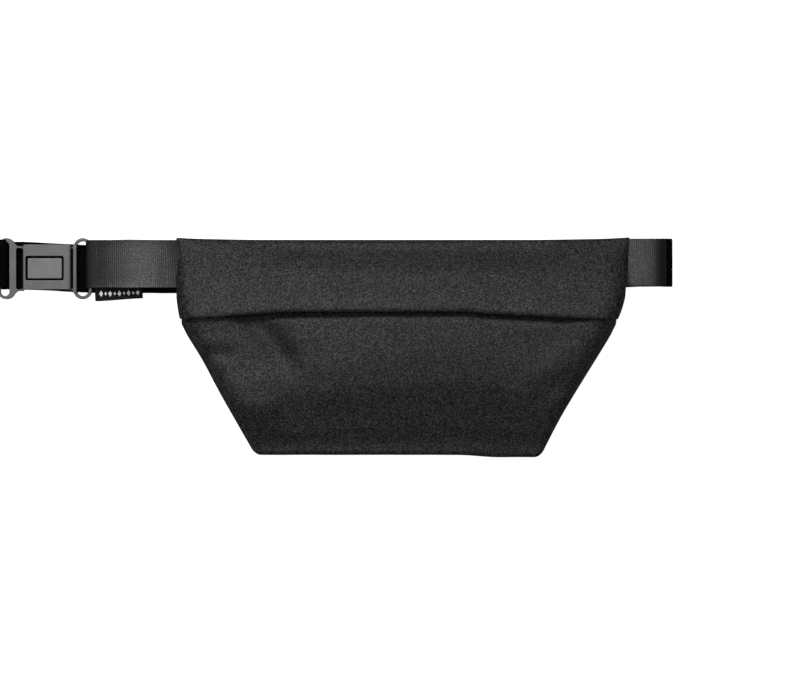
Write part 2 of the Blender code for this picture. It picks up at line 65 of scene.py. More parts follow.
FOOT_CORNER = 0.0055
SEAM_Z, BASE_Z = 0.0030, 0.0078
RIM = 0.0036  # how far in the cloth rolls over before it reaches its height
DOME = 0.0222  # the front's rise over its rim
DIVE = 0.0056  # how far it dips where it goes under the flap
SIDE_POWER = 36  # how flat the front stays before it falls at its sides
LEFT_LOW = 0.24  # how much lower it is at its left
TURN = 0.020  # how near an edge the cloth's waves and creases die away
CANVAS_THICK = 0.0011
LINING_THICK, LINING_GAP = 0.0003, 0.0024
SIDE_SLANT = 0.87  # a point's distance from a slanting side, for each metre along X

# The flap.
EDGE_LEFT_Y, EDGE_MIDDLE_Y, EDGE_RIGHT_Y = 0.0230, 0.0282, 0.0226
EDGE_LEFT, EDGE_RIGHT = -0.1745, 0.1725  # its free corners
FLAP_BASE_Z, FLAP_RISE = 0.0104, 0.0242
FLAP_POWER = 40  # how flat it stays before it falls at its sides
FLAP_LEFT_LOW = 0.19  # how much lower it is at its left end
FOLD_DEPTH = 0.0020  # from the top seam to where its front begins
HEM = 0.012

# The zip's chain.
ZIP_Y, ZIP_Z, ZIP_TILT = 0.0377, 0.0246, math.radians(-12.3)
ZIP_HALF = 0.1150
SLIDER_X = 0.1100

# The buckle.
BUCKLE_Y = 0.0627
RING_HALF_HEIGHT, RING_RADIUS, RING_ROD = 0.0245, 0.0074, 0.0027
RING_LEFT_X, RING_RIGHT_X = -0.3150, -0.2540
PLATE_LEFT, PLATE_RIGHT, PLATE_LOW_Y, PLATE_HIGH_Y = -0.3014, -0.2634, 0.0458, 0.0821
PLATE_LOW_Z, PLATE_TOP_Z = 0.0106, 0.0125
BUTTON_LEFT, BUTTON_RIGHT, BUTTON_LOW_Y, BUTTON_HIGH_Y = -0.2978, -0.2701, 0.0546, 0.0711
BUTTON_TOP_Z = 0.0128
SPRING_X, SPRING_Y = -0.2842, 0.0630
THROUGH = (0.0, 0.02)  # from below to above every part of the buckle, for cutters

WEB_THICK = 0.0015
RIB_PITCH = 0.0016


# ---------------------------------------------------------------- numbers


def mix(a, b, t):
    return a + (b - a) * t


def smooth(low, high, value):
    t = min(1.0, max(0.0, (value - low) / (high - low)))
    return t * t * (3 - 2 * t)


def bump(centre, width, value):
    return math.exp(-(((value - centre) / width) ** 2))


def spaced(count, ends=0.85):
    """From 0 to 1, closer together at both ends."""
    return [i / count - ends * math.sin(2 * math.pi * i / count) / (2 * math.pi) for i in range(count + 1)]


def rolled(distance, radius):
    """A quarter round: 0 at an edge, 1 from radius inwards."""
    short = 1 - min(1.0, max(0.0, distance / radius))
    return math.sqrt(max(0.0, 1 - short * short))


def wander(x, y, size, seed):
    """Smooth noise from about -1 to 1."""
    return noise.noise(Vector((x / size, y / size, seed)))


def curve_through(points, pitch):
    """A smooth line through the points, in even steps of about pitch."""
    last = len(points) - 1
    line = []
    for i in range(last):
        p0, p1, p2, p3 = (Vector(points[min(last, max(0, i + k))]) for k in (-1, 0, 1, 2))
        count = max(2, math.ceil((p2 - p1).length / pitch * 3))
        for step in range(count):
            t = step / count
            second, third = 2 * p0 - 5 * p1 + 4 * p2 - p3, 3 * p1 - p0 - 3 * p2 + p3
            line.append(0.5 * (2 * p1 + (p2 - p0) * t + second * t**2 + third * t**3))
    line.append(Vector(points[last]))
    lengths = [0.0]
    for a, b in zip(line, line[1:]):
        lengths.append(lengths[-1] + (b - a).length)
    count = max(2, round(lengths[-1] / pitch))
    even, k = [], 0
    for step in range(count + 1):
        want = lengths[-1] * step / count
        while k < len(lengths) - 2 and lengths[k + 1] < want:
            k += 1
        part = (want - lengths[k]) / max(1e-9, lengths[k + 1] - lengths[k])
        even.append(line[k].lerp(line[k + 1], part))
    return even, lengths[-1] / count


# ---------------------------------------------------------------- materials


class Shader:
    """A Principled material and short calls for its nodes."""

    def __init__(self, name, color, roughness, **constants):
        self.material = bpy.data.materials.new(name)
        self.material.use_nodes = True
        self.tree = self.material.node_tree
        self.principled = self.tree.nodes["Principled BSDF"]
        self.set(self.principled, "Base Color", (*color, 1))
        self.set(self.principled, "Roughness", roughness)
        for key, value in constants.items():
            self.set(self.principled, key.replace("_", " "), value)

    def set(self, node, key, value):
        if isinstance(value, bpy.types.NodeSocket):
            self.tree.links.new(value, node.inputs[key])
        else:
            node.inputs[key].default_value = value

    def node(self, kind, output, settings=(), **inputs):
        made = self.tree.nodes.new(kind)
        for key, value in dict(settings).items():
            setattr(made, key, value)
        for key, value in inputs.items():
            self.set(made, int(key[1:]) if key[0] == "_" else key.replace("_", " "), value)
        return made.outputs[output]

    def math(self, operation, a, b=0.0, c=0.0):
        return self.node("ShaderNodeMath", 0, {"operation": operation}, _0=a, _1=b, _2=c)

    def uv(self):
        split = self.tree.nodes.new("ShaderNodeSeparateXYZ")
        uv = self.tree.nodes.new("ShaderNodeUVMap")
        uv.uv_map = "cloth"
        self.tree.links.new(uv.outputs[0], split.inputs[0])
        return uv.outputs[0], split.outputs[0], split.outputs[1]

    def place(self):
        return self.node("ShaderNodeTexCoord", "Object")

    def noise(self, vector, size, detail=2.0):
        return self.node("ShaderNodeTexNoise", 0, Vector=vector, Scale=1 / size, Detail=detail)

    def fleck(self, vector, size):
        """A random value for each square of that size."""
        crossing = self.node("ShaderNodeVectorMath", 0, {"operation": "SNAP"}, _0=vector, _1=(size,) * 3)
        return self.node("ShaderNodeTexWhiteNoise", 0, {"noise_dimensions": "3D"}, Vector=crossing)

    def remap(self, value, low, high, to_low, to_high):
        return self.node("ShaderNodeMapRange", 0, {}, _0=value, _1=low, _2=high, _3=to_low, _4=to_high)

    def waves(self, value, pitch, shift=0.0):
        """A sine of that pitch, from 0 to 1."""
        turn = self.math("MULTIPLY_ADD", value, 2 * math.pi / pitch, shift)
        return self.math("MULTIPLY_ADD", self.math("SINE", turn), 0.5, 0.5)

    def tint(self, color, amount):
        """The colour scaled by amount."""
        scaled = self.node("ShaderNodeVectorMath", 0, {"operation": "SCALE"}, Vector=color, Scale=amount)
        self.set(self.principled, "Base Color", scaled)

    def relief(self, height, depth):
        made = self.node("ShaderNodeBump", 0, {}, Height=height, Distance=depth, Strength=1.0)
        self.set(self.principled, "Normal", made)


def woven(name, color, pitch, grain, roughness, depth, specular=0.25, sheen=0.10):
    """Plain-woven cloth. grain is how much its colour varies from one crossing of its threads to the next."""
    s = Shader(name, color, roughness, Specular_IOR_Level=specular, Sheen_Weight=sheen, Sheen_Roughness=0.5)
    vector, u, v = s.uv()
    warp, weft = s.waves(u, pitch), s.waves(v, pitch * 0.92)
    over = s.math("MULTIPLY", warp, weft)
    under = s.math("MULTIPLY", s.math("SUBTRACT", 1.0, warp), s.math("SUBTRACT", 1.0, weft))
    weave = s.math("ADD", over, under)
    fleck = s.fleck(vector, pitch * 0.6)
    slub = s.noise(vector, 0.0045, 2.0)
    cloud = s.noise(vector, 0.045, 2.0)
    squared = s.math("MULTIPLY", fleck, fleck)
    amount = s.math("ADD", s.remap(squared, 0, 1, 1 - grain, 1 + 2 * grain), s.remap(weave, 0, 1, -0.14, 0.14))
    amount = s.math("ADD", amount, s.remap(slub, 0.3, 0.7, -0.12, 0.12))
    amount = s.math("MULTIPLY", amount, s.remap(cloud, 0.3, 0.7, 0.93, 1.07))
    s.tint(color, amount)
    spread = 0.2 * grain * roughness
    s.set(s.principled, "Roughness", s.remap(fleck, 0, 1, roughness + spread, roughness - spread))
    s.relief(s.math("ADD", weave, s.math("MULTIPLY", slub, 1.2)), depth)
    return s.material


def ribbed(name, color, roughness, specular):
    """Webbing: ribs across its length and fine threads along it."""
    s = Shader(name, color, roughness, Specular_IOR_Level=specular)
    vector, u, v = s.uv()
    wobble = s.noise(vector, 0.0030, 2.0)
    rib = s.waves(s.math("MULTIPLY_ADD", wobble, 0.0006, u), RIB_PITCH)
    thread = s.waves(v, 0.0011)
    speck = s.fleck(vector, RIB_PITCH / 2)
    amount = s.math("ADD", s.remap(rib, 0, 1, 0.75, 1.15), s.remap(speck, 0, 1, -0.8, 0.8))
    amount = s.math("ADD", amount, s.remap(thread, 0, 1, -0.08, 0.08))
    s.tint(color, amount)
    gloss = s.math("ADD", s.remap(speck, 0, 1, 0.11, -0.11), s.remap(rib, 0, 1, roughness + 0.05, roughness))
    gloss = s.math("ADD", gloss, s.remap(s.noise(vector, 0.009, 2.0), 0.3, 0.7, -0.025, 0.025))
    s.set(s.principled, "Roughness", gloss)
    twill = s.noise(vector, 0.0013, 1.0)
    height = s.math("ADD", rib, s.math("MULTIPLY", thread, 0.35))
    s.relief(s.math("ADD", height, s.math("MULTIPLY", twill, 3.0)), 0.00005)
    return s.material


def moulded(name, color, roughness):
    """Satin moulded plastic with a fine spark-eroded grain and faint wear."""
    s = Shader(name, color, roughness, Specular_IOR_Level=1.0)
    place = s.place()
    fine = s.noise(place, 0.0009, 1.0)
    broad = s.noise(place, 0.012, 3.0)
    s.tint(color, s.math("ADD", s.remap(broad, 0.3, 0.7, 0.94, 1.06), s.remap(fine, 0.3, 0.7, -0.16, 0.16)))
    s.set(s.principled, "Roughness", s.remap(broad, 0.3, 0.7, roughness - 0.06, roughness + 0.06))
    s.relief(fine, 0.00003)
    return s.material


def painted(name, color, metallic, roughness):
    """Finished metal, a little worn."""
    s = Shader(name, color, roughness, Metallic=metallic)
    place = s.place()
    worn = s.noise(place, 0.0025, 4.0)
    s.tint(color, s.remap(worn, 0.3, 0.75, 0.85, 1.25))
    s.set(s.principled, "Roughness", s.remap(worn, 0.3, 0.7, roughness - 0.08, roughness + 0.1))
    s.relief(s.noise(place, 0.0009, 2.0), 0.00002)
    return s.material


def knitted(name, color):
    """Spacer mesh: round open cells over padding."""
    s = Shader(name, color, 0.85, Specular_IOR_Level=0.2, Sheen_Weight=0.2)
    vector, _, _ = s.uv()
    cells = s.node("ShaderNodeTexVoronoi", 0, {}, Vector=vector, Scale=1 / 0.0026, Randomness=0.25)
    hole = s.remap(cells, 0.25, 0.45, 0.30, 1.0)
    s.tint(color, hole)
    s.relief(hole, 0.0007)
    return s.material


def plain_cloth(name, color):
    """Thin cloth on the CAD's own inner pieces, which have no map of their own."""
    s = Shader(name, color, 0.75, Specular_IOR_Level=0.25, Sheen_Weight=0.15)
    split = s.tree.nodes.new("ShaderNodeSeparateXYZ")
    s.tree.links.new(s.place(), split.inputs[0])
    weave = s.math("MULTIPLY", s.waves(split.outputs[0], 0.0011), s.waves(split.outputs[1], 0.0011))
    grain = s.noise(s.place(), 0.002, 2.0)
    s.tint(color, s.math("ADD", s.remap(weave, 0, 1, 0.85, 1.1), s.remap(grain, 0.3, 0.7, -0.08, 0.08)))
    s.relief(weave, 0.00015)
    return s.material


CANVAS = woven("canvas_weave", (0.0240, 0.0232, 0.0220), 0.0012, 1.0, 0.50, 0.00012, 0.30, 0.0)
LINING = woven("lining_weave", (0.075, 0.076, 0.080), 0.0008, 0.10, 0.62, 0.00008)
WEBBING = ribbed("webbing_ribs", (0.0045, 0.0045, 0.0042), 0.44, 0.80)
BELT_WEBBING = ribbed("belt_webbing_ribs", (0.0050, 0.0050, 0.0047), 0.53, 0.78)
# painted shade: a darker, duller copy of the webbing for runs that lie in shade, such as the back run seen through
# the buckle's ring windows and the plies under the loops
WEBBING_PAINTED_SHADE = ribbed("webbing_painted_shade", (0.0017, 0.0017, 0.0016), 0.75, 0.035)
MESH = knitted("back_mesh_knit", (0.050, 0.050, 0.052))
PLASTIC = moulded("buckle_plastic_grain", (0.046, 0.048, 0.045), 0.44)
BUTTON_PLASTIC = moulded("button_plastic_grain", (0.090, 0.093, 0.089), 0.42)
ZIP_TAPE = plain_cloth("zip_tape_twill", (0.012, 0.012, 0.012))
COIL = moulded("zip_coil_nylon", (0.012, 0.012, 0.013), 0.35)
ZIP_METAL = painted("zip_gunmetal", (0.30, 0.30, 0.31), 0.9, 0.34)
SPRING = painted("spring_wire", (0.55, 0.55, 0.56), 1.0, 0.25)
FOAM = plain_cloth("foam_cells", (0.14, 0.14, 0.145))
INNER = plain_cloth("inner_cloth", (0.075, 0.076, 0.080))
LABEL = woven("label_satin", (0.010, 0.010, 0.010), 0.0005, 0.30, 0.75, 0.00005, 0.15, 0.0)
LABEL_MARK = woven("label_pale_thread", (0.90, 0.90, 0.88), 0.0005, 0.06, 0.70, 0.00003)
THREAD = woven("stitch_thread", (0.045, 0.045, 0.044), 0.0004, 0.12, 0.60, 0.00005)


# ---------------------------------------------------------------- meshes


def add_object(name, mesh, look):
    obj = bpy.data.objects.new(name, mesh)
    mesh.materials.append(look)
    bpy.context.scene.collection.objects.link(obj)
    return obj


def object_from(bm, name, look, smooth_shaded=True):
    """Turns a finished bmesh into a piece."""
    mesh = bpy.data.meshes.new(name)
    bm.to_mesh(mesh)
    bm.free()
    if smooth_shaded:
        mesh.shade_smooth()
    return add_object(name, mesh, look)


def map_flat(bm, layer):
    """Maps every face by its X and Y."""
    for face in bm.faces:
        for loop in face.loops:
            loop[layer].uv = loop.vert.co.xy


def put_on(obj, body, *nodes):
    """The piece takes the CAD nodes' place and rides on the body."""
    if nodes:
        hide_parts(*nodes)
    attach(obj, body)


def from_grid(name, grid, look, thick=0.0, offset=-1.0, tube=False, uvs=None):
    """A cloth mesh from rows of points, with a map in metres of cloth.

    thick makes it solid, towards its inside. tube joins the last row to the first and closes both ends.
    """
    uvs = uvs or cloth_map(grid)
    bm = bmesh.new()
    layer = bm.loops.layers.uv.new("cloth")
    rows = [[bm.verts.new(p) for p in row] for row in grid]
    count = len(grid[0])
    for r in range(len(rows) if tube else len(rows) - 1):
        after = (r + 1) % len(rows)
        for c in range(count - 1):
            corners = ((r, c), (r, c + 1), (after, c + 1), (after, c))
            face = bm.faces.new([rows[a][b] for a, b in corners])
            for loop, (a, b) in zip(face.loops, ((r, c), (r, c + 1), (r + 1, c + 1), (r + 1, c))):
                loop[layer].uv = uvs(a, b)
    if tube:
        for c in (0, count - 1):
            face = bm.faces.new([row[c] for row in rows])
            for loop, r in zip(face.loops, range(len(rows))):
                loop[layer].uv = uvs(r, c)
        bmesh.ops.recalc_face_normals(bm, faces=bm.faces)
    obj = object_from(bm, name, look)
    if thick:
        solid = obj.modifiers.new("thickness", "SOLIDIFY")
        solid.thickness = thick
        solid.offset = offset
        solid.use_even_offset = False
    return obj


def cloth_map(grid):
    """The map of a sheet of cloth: how far each point is from the middle along its row, and from the first row."""
    middle = len(grid[0]) // 2
    across, along = [], []
    for r, row in enumerate(grid):
        run = [0.0]
        for a, b in zip(row, row[1:]):
            run.append(run[-1] + (b - a).length)
        across.append([value - run[middle] for value in run])
        along.append([along[-1][c] + (row[c] - grid[r - 1][c]).length if r else 0.0 for c in range(len(row))])
    last = len(grid) - 1
    return lambda r, c: (across[min(r, last)][c], along[min(r, last)][c])


def evenly(count):
    return [i / count for i in range(count + 1)]


def sheet_of(along, across, at):
    """Rows of points: at(t, s) for each t along the cloth and each s across it, both from 0 to 1."""
    return [[Vector(at(t, s)) for s in across] for t in along]


def declare_cloth(grid):
    """Measures a sheet that was cut to the shape it is sewn into: its longest row, longest column and area, which
    are then dropped.
    """

    def longest(lines):
        return max(sum((b - a).length for a, b in zip(line, line[1:])) for line in lines)

    width, height, area = longest(grid), longest(zip(*grid)), 0.0
    for low, high in zip(grid, grid[1:]):
        for c in range(len(low) - 1):
            area += (low[c + 1] - high[c]).cross(high[c + 1] - low[c]).length / 2


def prism(name, outline, low, high, look, slot, bevel=0.0):
    """The outline in X and Y drawn from low to high, with its long edges rounded."""
    bm = bmesh.new()
    face = bm.faces.new([bm.verts.new((x, y, low)) for x, y in outline])
    drawn = bmesh.ops.extrude_face_region(bm, geom=[face])
    top = [item for item in drawn["geom"] if isinstance(item, bmesh.types.BMVert)]
    bmesh.ops.translate(bm, vec=(0, 0, high - low), verts=top)
    bmesh.ops.recalc_face_normals(bm, faces=bm.faces)
    obj = object_from(bm, name, look)
    if bevel:
        rounding = obj.modifiers.new("rounding", "BEVEL")
        rounding.width = bevel
        rounding.segments = 3
        rounding.limit_method = "ANGLE"
        rounding.angle_limit = math.radians(40)
        rounding.harden_normals = True
    return obj


def cut(obj, *outlines, span=THROUGH):
    """Takes the outlines out of obj over the span of heights, before its edges are rounded."""
    cutters = [prism("cutter", outline, *span, PLASTIC, "cutter") for outline in outlines]
    for cutter in cutters:
        hole = obj.modifiers.new("cut", "BOOLEAN")
        hole.operation = "DIFFERENCE"
        hole.solver = "EXACT"
        hole.object = cutter
        obj.modifiers.move(len(obj.modifiers) - 1, 0)
    rounding = [m for m in obj.modifiers if m.type == "BEVEL"]
    for modifier in rounding:
        modifier.show_viewport = False
    bpy.context.view_layer.update()
    depsgraph = bpy.context.evaluated_depsgraph_get()
    mesh = bpy.data.meshes.new_from_object(obj.evaluated_get(depsgraph))
    for modifier in [m for m in obj.modifiers if m.type == "BOOLEAN"]:
        obj.modifiers.remove(modifier)
    obj.data = mesh
    mesh.shade_smooth()
    for modifier in rounding:
        modifier.show_viewport = True
    for cutter in cutters:
        bpy.data.objects.remove(cutter)


def arc(centre, radius, start, end, count):
    """Points round part of a circle, from start to end in degrees."""
    angles = [math.radians(mix(start, end, t)) for t in evenly(count)]
    return [(centre[0] + radius * math.cos(a), centre[1] + radius * math.sin(a)) for a in angles]


def rounded_box(left, right, low, high, radius, count=5):
    """A rectangle's outline with rounded corners."""
    points = arc((right - radius, low + radius), radius, -90, 0, count)
    points += arc((right - radius, high - radius), radius, 0, 90, count)
    points += arc((left + radius, high - radius), radius, 90, 180, count)
    points += arc((left + radius, low + radius), radius, 180, 270, count)
    return points


def stitches(name, line, body):
    """A row of thread stitches along a line of points, each a short bent bar that dips at its ends."""
    length, gap, radius = 0.0028, 0.0010, 0.00024
    points, _ = curve_through(line, (length + gap) / 6)
    up = Vector((0, 0, 1))
    around = [math.radians(60 * k) for k in range(6)]
    bm = bmesh.new()
    layer = bm.loops.layers.uv.new("cloth")
    for start in range(0, len(points) - 6, 6):
        part = points[start : start + 5]
        rings = []
        for i, p in enumerate(part):
            lift = radius * (1.1 * math.sin(math.pi * i / 4) - 0.5)
            tangent = (part[min(4, i + 1)] - part[max(0, i - 1)]).normalized()
            side = tangent.cross(up).normalized()
            middle = p + up * lift
            rings.append([bm.verts.new(middle + (side * math.cos(a) + up * math.sin(a)) * radius) for a in around])
        for a, b in zip(rings, rings[1:]):
            for k in range(6):
                bm.faces.new((a[k], a[(k + 1) % 6], b[(k + 1) % 6], b[k]))
        bm.faces.new(rings[0])
        bm.faces.new(rings[-1])
    bmesh.ops.recalc_face_normals(bm, faces=bm.faces)
    map_flat(bm, layer)
    put_on(object_from(bm, name, THREAD), body)


# ---------------------------------------------------------------- the bag's shape


def side_x(y, side):
    """The body's left or right edge at y."""
    top, wing, foot = (TOP_LEFT, WING_LEFT, FOOT_LEFT) if side < 0 else (TOP_RIGHT, WING_RIGHT, FOOT_RIGHT)
    if y > WING_Y:
        return mix(wing, top, (y - WING_Y) / (TOP_Y - WING_Y)) - side * 0.0008
    t = (y - BOTTOM_Y) / (WING_Y - BOTTOM_Y)
    x = mix(foot, wing, t) - side * 0.0008 * smooth(0.9, 1, t)
    if side > 0:
        x -= RIGHT_BOW * math.sin(math.pi * max(0.0, t)) * (1 - t)
    else:
        x += LEFT_BOW * bump(0.73, 0.18, t)
    short = FOOT_CORNER - (y - BOTTOM_Y)
    if short > 0:
        x -= side * (FOOT_CORNER - math.sqrt(max(0.0, FOOT_CORNER**2 - short**2))) * 0.8
    return x


def crest(x):
    """Where the front begins to fall towards the bottom seam: lower at both sides than in the middle."""
    left = 0.0120 * smooth(0.030, -0.080, x) + 0.0160 * smooth(-0.060, -0.125, x)
    return 0.0025 - left - 0.0200 * smooth(0.045, 0.140, x)


def fullness(u):
    """How full the bag is from its left side at -1 to its right at 1."""
    return (1 - abs(u) ** SIDE_POWER) * (1 - LEFT_LOW * smooth(0.0, -0.85, u))


def groove(x, y, a, b, width, depth):
    """A crease from a to b, fading at its ends."""
    along, across = Vector((b[0] - a[0], b[1] - a[1])), Vector((x - a[0], y - a[1]))
    t = across.dot(along) / along.length_squared
    if not -0.3 < t < 1.3:
        return 0.0
    direction = along.normalized()
    off = direction.x * across.y - direction.y * across.x
    return -depth * math.exp(-((off / width) ** 2)) * smooth(-0.25, 0.15, t) * smooth(1.3, 0.75, t)


def creases(x, y):
    """The front's creases, and the soft ridges beside them."""
    dz = groove(x, y, (-0.124, 0.030), (-0.087, -0.017), 0.0110, 0.0050)
    dz += groove(x, y, (-0.156, -0.007), (-0.136, -0.005), 0.0062, 0.0026)
    dz += groove(x, y, (-0.134, -0.006), (-0.114, -0.016), 0.0090, 0.0007)
    dz -= groove(x, y, (-0.134, -0.043), (-0.100, -0.056), 0.0160, 0.0028)
    dz += groove(x, y, (0.105, -0.046), (0.150, -0.018), 0.0090, 0.0018)
    dz -= groove(x, y, (0.110, -0.020), (0.150, 0.006), 0.0100, 0.0010)
    return dz


def body_height(x, y, left, right):
    """The lower front: flat at the top, steep below the crest, and nearly flat again before the bottom seam."""
    top = crest(x)
    span = top - BOTTOM_Y
    t = min(1.0, max(0.0, (y - BOTTOM_Y) / span))
    fall = 0.19 * smooth(0.0, 0.30, t) + 0.59 * smooth(0.10, 0.70, t) + 0.22 * smooth(0.45, 1.0, t)
    u = 2 * (x - left) / (right - left) - 1
    dome = DOME * fall * fullness(u)
    edge = flap_edge(x)
    full = mix(0.3, 1.0, smooth(-0.160, -0.110, x) * smooth(0.162, 0.125, x))
    dome -= DIVE * full * smooth(edge - 0.0078 * full, edge + 0.0034, y) * fullness(u)
    soft = rolled(min(x - left, right - x, y - BOTTOM_Y), TURN)
    dome += soft * (0.0007 * wander(x, y, 0.050, 1.0) + 0.0003 * wander(x, y, 0.018, 2.0))
    return dome + creases(x, y) * soft


def make_lower_lining():
    """The thin lining behind the lower front, which follows it inside."""

    def at(t, s):
        y = mix(BOTTOM_Y + 0.0030, 0.0305, t)
        left, right = side_x(y, -1), side_x(y, 1)
        x = mix(left + 0.0030, right - 0.0030, s)
        return x, y, BASE_Z + body_height(x, y, left, right) - LINING_GAP

    grid = sheet_of(evenly(40), spaced(60), at)
    lining = from_grid("lower_lining_cloth", grid, LINING, LINING_THICK)
    put_on(lining, "pack", "lower_lining")
    declare_cloth(grid)


def make_lower_front():
    """The full front, which rolls over into the seams and puckers along them."""

    def at(t, s):
        y = mix(BOTTOM_Y, 0.0316, 0.10 * t + 0.90 * t**1.25)
        left, right = side_x(y, -1), side_x(y, 1)
        x = mix(left, right, s)
        tilt = -FOOT_DROP * smooth(0.045, 0.080, x) * smooth(-0.050, BOTTOM_Y, y)
        wave = 0.0003 * wander(x, 0.3, 0.030, 7.0) * smooth(-0.070, BOTTOM_Y, y)
        near = min((x - left) * SIDE_SLANT, (right - x) * SIDE_SLANT)
        roll = rolled(near, RIM) * rolled(y - BOTTOM_Y, RIM)
        pucker = 0.0005 * wander(x, y, 0.007, 4.0) * (1 - rolled(min(near, y - BOTTOM_Y), 0.012))
        z = SEAM_Z + (BASE_Z - SEAM_Z) * roll + body_height(x, y, left, right) + pucker * roll
        return x, y + tilt + wave, z

    grid = sheet_of(evenly(96), spaced(150), at)
    body = from_grid("lower_front_cloth", grid, CANVAS, CANVAS_THICK)
    put_on(body, "pack", "lower_front_panel")
    declare_cloth(grid)


def upper_height(x, y):
    """The upper panel's height: low behind the zip in the middle, and close under the flap beyond the zip's ends."""
    rise = math.sin(math.pi / 2 * min(1.0, max(0.0, (TOP_Y - y) / (TOP_Y - 0.0225))))
    u = min(1.0, max(-1.0, 2 * (x - TOP_LEFT) / (TOP_RIGHT - TOP_LEFT) - 1))
    middle = 0.0078 + 0.0215 * rise * max(0.0, 1 - abs(x / 0.181) ** 8)
    top = flap_top(x) - FOLD_DEPTH
    along_flap = min(1.0, max(0.0, (top - y) / (top - flap_edge(x))))
    under = FLAP_BASE_Z - 0.0044 + 0.95 * flap_rise(along_flap, u)
    return mix(middle, under, smooth(0.64, 0.70, abs(u)))


def make_upper_front():
    """The panel between the zip and the top seam, which goes down both sides of the zip's ends, and its lining."""

    def at(t, s):
        low = mix(0.0438, 0.0296, smooth(0.690, 0.715, abs(2 * s - 1)))
        y = mix(low, 0.0858, t)
        left, right = side_x(y, -1) + 0.0015, side_x(y, 1) - 0.0015
        x = mix(left, right, s)
        near = min(x - left, right - x)
        z = upper_height(x, y) + 0.0005 * wander(x, y, 0.04, 3.0) * rolled(near, TURN)
        return x, y, mix(0.0046, z, rolled(near, 0.0030))

    def lining_at(t, s):
        y = mix(0.0450, 0.0845, t)
        left, right = side_x(y, -1) + 0.0035, side_x(y, 1) - 0.0035
        x = mix(left, right, s)
        z = upper_height(x, y) - 0.0026
        return x, y, mix(0.0050, z, rolled(min(x - left, right - x), 0.0030))

    grid = sheet_of(evenly(26), spaced(120), at)
    panel = from_grid("upper_front_cloth", grid, CANVAS, CANVAS_THICK)
    put_on(panel, "pack", "upper_front_panel")
    declare_cloth(grid)
    grid = sheet_of(evenly(14), spaced(60), lining_at)
    lining = from_grid("upper_lining_cloth", grid, LINING, LINING_THICK)
    put_on(lining, "pack", "upper_lining")
    declare_cloth(grid)


# ---------------------------------------------------------------- the flap


def flap_side(y, side):
    """The flap's left or right edge: nearly straight, and curving in at the free corner."""
    top, wing = (TOP_LEFT, -0.1777) if side < 0 else (TOP_RIGHT, 0.1784)
    x = mix(wing, top, min(1.0, max(0.0, (y - 0.036) / (TOP_Y - 0.036))))
    inward = max(0.0, (0.040 - y) / 0.0165)
    return x - side * (0.0024 if side < 0 else 0.0050) * inward**1.5


def flap_edge(x):
    """The free edge's Y: highest in the middle, where the bag is fullest."""
    rise = smooth(-0.178, -0.075, x) - smooth(0.050, 0.160, x) * 0.75 - smooth(0.052, 0.072, x) * 0.25
    base = mix(EDGE_LEFT_Y, EDGE_RIGHT_Y, smooth(-0.17, 0.17, x))
    return mix(base, EDGE_MIDDLE_Y, max(0.0, rise))


def flap_top(x):
    """The folded top edge's Y: it sags in the middle and rises at the corners."""
    u = x / 0.181
    corner = max(0.0, abs(u) - 0.86) / 0.14
    return 0.0848 + 0.0020 * u * u + 0.0006 * corner**2 - 0.0005 * bump(-0.030, 0.060, x)


def summed(slope, count=200):
    """The running total of a slope from 0 to 1, scaled to end at 1."""
    total = [0.0]
    for i in range(count):
        total.append(total[-1] + slope((i + 0.5) / count))
    return [value / total[-1] for value in total]


def middle_slope(t):
    """The slope of the flap's middle: gentle at the fold, then steep, then flatter towards the free edge."""
    return 0.90 + 0.75 * smooth(0.07, 0.16, t) - 0.75 * smooth(0.32, 0.55, t) - 0.55 * smooth(0.75, 1.0, t)


SWELL = summed(middle_slope)


def flap_rise(t, u):
    """Height over the flap's base, from the top fold at t 0 to the free edge at t 1."""
    place = min(0.999, max(0.0, t)) * (len(SWELL) - 1)
    low = int(place)
    swell = mix(SWELL[low], SWELL[low + 1], place - low)
    crown = smooth(-0.75, -0.40, u) * smooth(0.95, 0.50, u)
    droop = 1 - mix(0.42, 0.56, smooth(-0.5, 0.5, u)) * smooth(0.10, 0.60, t)
    side = (1 - droop * abs(u) ** FLAP_POWER) * (1 - FLAP_LEFT_LOW * smooth(-0.62, -1.0, u))
    return FLAP_RISE * mix(1 - (1 - t) ** 1.45, swell, crown) * side


